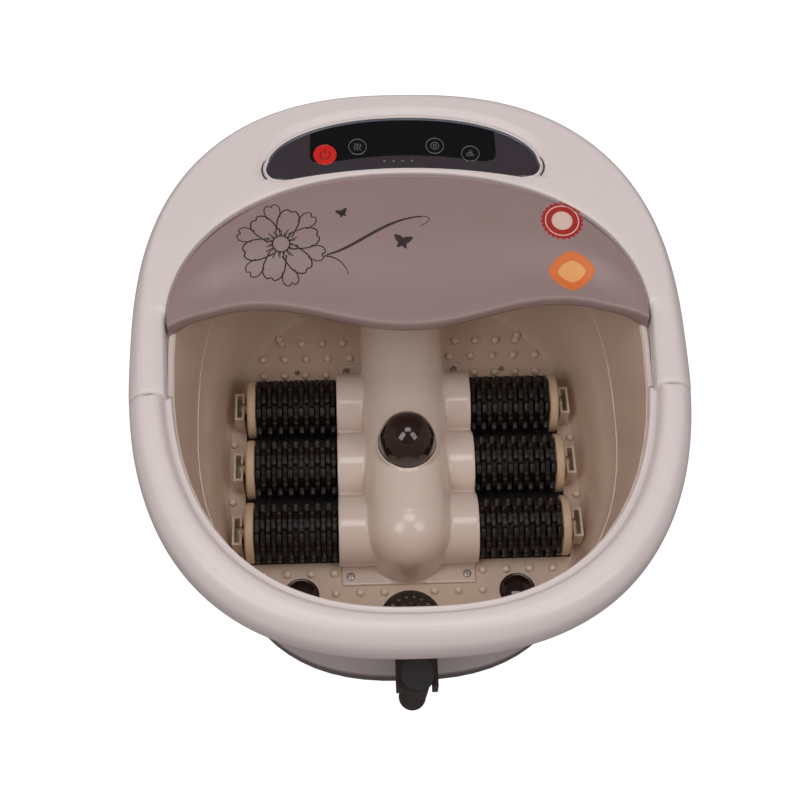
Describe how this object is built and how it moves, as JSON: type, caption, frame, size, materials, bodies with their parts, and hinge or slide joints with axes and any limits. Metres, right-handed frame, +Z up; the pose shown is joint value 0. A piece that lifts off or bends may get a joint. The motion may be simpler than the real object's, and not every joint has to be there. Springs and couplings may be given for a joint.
{
  "type": "foot spa basin",
  "caption": "Oval heated foot bath with driven massage roller rows, a lamp on the gear cover, a splash guard, a sloping key panel and a drain hose.",
  "frame": {"origin": "on the floor, below the middle of the rim", "axes": "+X to the user's right, +Y towards the control hood, +Z up"},
  "size_m": [0.4098, 0.441, 0.2805],
  "materials": {
    "grey_base": "fine-grained matt grey moulded plastic",
    "rubber": "matt black rubber",
    "steel": "brushed stainless steel",
    "white_shell": "satin off-white moulded plastic",
    "cream_tub": "satin cream moulded plastic",
    "cream_cover": "satin cream moulded plastic",
    "dark_liner": "matt dark grey plastic",
    "grey_guard": "satin warm grey plastic with a printed flower line drawing",
    "black_lens": "high-gloss black window",
    "red_key": "red backlit key",
    "black_key": "gloss black key with a printed ring",
    "circuit_board": "green coated circuit board",
    "dark_housing": "dark glass-filled plastic",
    "motor_metal": "zinc-plated steel",
    "acetal": "natural acetal",
    "beige_clip": "satin beige plastic",
    "brown_lens": "gloss smoked brown window",
    "dark_strainer": "dark brown plastic",
    "hose_rubber": "dark brown rubber",
    "hose_clip": "dark brown plastic",
    "roller_brown": "satin dark brown plastic",
    "silicone_hose": "milky silicone rubber",
    "cord": "black flexible cord sheath"
  },
  "bodies": {
    "basin": {"base_pan": "grey_base", "rubber_feet": "rubber", "base_screws": "steel", "outer_shell": "white_shell", "tub": "cream_tub", "well_liners": "dark_liner", "front_rim": "white_shell", "rear_hood": "white_shell", "rim_gasket": "silicone_hose", "control_lens": "black_lens", "key_board": "circuit_board", "main_board": "circuit_board", "gearbox": "dark_housing", "motor_can": "motor_metal", "shaft_seal": "rubber", "bearing_rail": "cream_tub", "bearing_clips": "beige_clip", "gear_cover": "cream_cover", "cover_screws": "steel", "lamp_window": "brown_lens", "lamp_board": "circuit_board", "floor_lenses": "brown_lens", "strainer": "dark_strainer", "drain_spout": "hose_rubber", "hose_clip": "hose_clip", "pump_housing": "dark_housing", "pump_cover": "dark_housing", "pump_motor": "motor_metal", "heater_tube": "motor_metal", "water_hoses": "silicone_hose", "power_cord": "cord", "cord_grommet": "cord"},
    "splash_guard": {"splash_guard": "grey_guard"},
    "power_key": {"power_key": "red_key"},
    "heat_key": {"heat_key": "black_key"},
    "massage_key": {"massage_key": "black_key"},
    "bubble_key": {"bubble_key": "black_key"},
    "front_row": {"front_axle": "steel", "front_roller_left": "roller_brown", "front_roller_right": "roller_brown", "front_end_caps": "beige_clip", "front_gear": "acetal"},
    "middle_row": {"middle_axle": "steel", "middle_roller_left": "roller_brown", "middle_roller_right": "roller_brown", "middle_end_caps": "beige_clip", "middle_gear": "acetal"},
    "rear_row": {"rear_axle": "steel", "rear_roller_left": "roller_brown", "rear_roller_right": "roller_brown", "rear_end_caps": "beige_clip", "rear_gear": "acetal"},
    "front_idler": {"front_idler": "acetal"},
    "middle_idler": {"middle_idler": "acetal"},
    "rear_idler": {"rear_idler": "acetal"},
    "drive_pinion": {"motor_pinion": "acetal"},
    "drain_hose": {"drain_hose": "hose_rubber"},
    "drain_plug": {"drain_plug": "hose_rubber"},
    "pump_impeller": {"pump_impeller": "acetal"}
  },
  "joints": [
    {"name": "guard_lift", "type": "slide", "parent": "basin", "child": "splash_guard", "axis": [0, -0.1238, 0.9923], "range_m": [0, 0.05]},
    {"name": "power_key_press", "type": "slide", "parent": "basin", "child": "power_key", "axis": [0, 0.1238, -0.9923], "range_m": [0, 0.0008], "stiffness_N_per_m": 300, "springref_m": -0.0005},
    {"name": "heat_key_press", "type": "slide", "parent": "basin", "child": "heat_key", "axis": [0, 0.1238, -0.9923], "range_m": [0, 0.0008], "stiffness_N_per_m": 300, "springref_m": -0.0005},
    {"name": "massage_key_press", "type": "slide", "parent": "basin", "child": "massage_key", "axis": [0, 0.1238, -0.9923], "range_m": [0, 0.0008], "stiffness_N_per_m": 300, "springref_m": -0.0005},
    {"name": "bubble_key_press", "type": "slide", "parent": "basin", "child": "bubble_key", "axis": [0, 0.1238, -0.9923], "range_m": [0, 0.0008], "stiffness_N_per_m": 300, "springref_m": -0.0005},
    {"name": "middle_row_spin", "type": "hinge", "parent": "basin", "child": "middle_row", "pos_m": [0, -0.011, 0.0762], "axis": [1, 0, 0], "continuous": true},
    {"name": "front_row_spin", "type": "hinge", "parent": "basin", "child": "front_row", "pos_m": [0, -0.068, 0.0762], "axis": [1, 0, 0], "continuous": true},
    {"name": "rear_row_spin", "type": "hinge", "parent": "basin", "child": "rear_row", "pos_m": [0, 0.046, 0.0762], "axis": [1, 0, 0], "continuous": true},
    {"name": "front_idler_spin", "type": "hinge", "parent": "basin", "child": "front_idler", "pos_m": [0.022, -0.0395, 0.0762], "axis": [1, 0, 0], "continuous": true},
    {"name": "middle_idler_spin", "type": "hinge", "parent": "basin", "child": "middle_idler", "pos_m": [0.022, 0.0175, 0.0762], "axis": [1, 0, 0], "continuous": true},
    {"name": "rear_idler_spin", "type": "hinge", "parent": "basin", "child": "rear_idler", "pos_m": [0.022, 0.0745, 0.0762], "axis": [1, 0, 0], "continuous": true},
    {"name": "drive_pinion_spin", "type": "hinge", "parent": "basin", "child": "drive_pinion", "pos_m": [0.022, 0.0955, 0.0762], "axis": [1, 0, 0], "continuous": true},
    {"name": "drain_hose_swing", "type": "hinge", "parent": "basin", "child": "drain_hose", "pos_m": [0, -0.1895, 0.022], "axis": [1, 0, 0], "range_deg": [0, 80]},
    {"name": "drain_plug_pull", "type": "slide", "parent": "drain_hose", "child": "drain_plug", "axis": [0, -0.1608, 0.987], "range_m": [0, 0.03]},
    {"name": "pump_impeller_spin", "type": "hinge", "parent": "basin", "child": "pump_impeller", "pos_m": [0.067, 0.12, 0.03], "axis": [1, 0, 0], "continuous": true}
  ],
  "couplings": [
    {"joint": "front_row_spin", "follows": "middle_row_spin", "ratio": 1},
    {"joint": "rear_row_spin", "follows": "middle_row_spin", "ratio": 1},
    {"joint": "front_idler_spin", "follows": "middle_row_spin", "ratio": -1.7143},
    {"joint": "middle_idler_spin", "follows": "middle_row_spin", "ratio": -1.7143},
    {"joint": "rear_idler_spin", "follows": "middle_row_spin", "ratio": -1.7143},
    {"joint": "drive_pinion_spin", "follows": "middle_row_spin", "ratio": 1.7143}
  ]
}
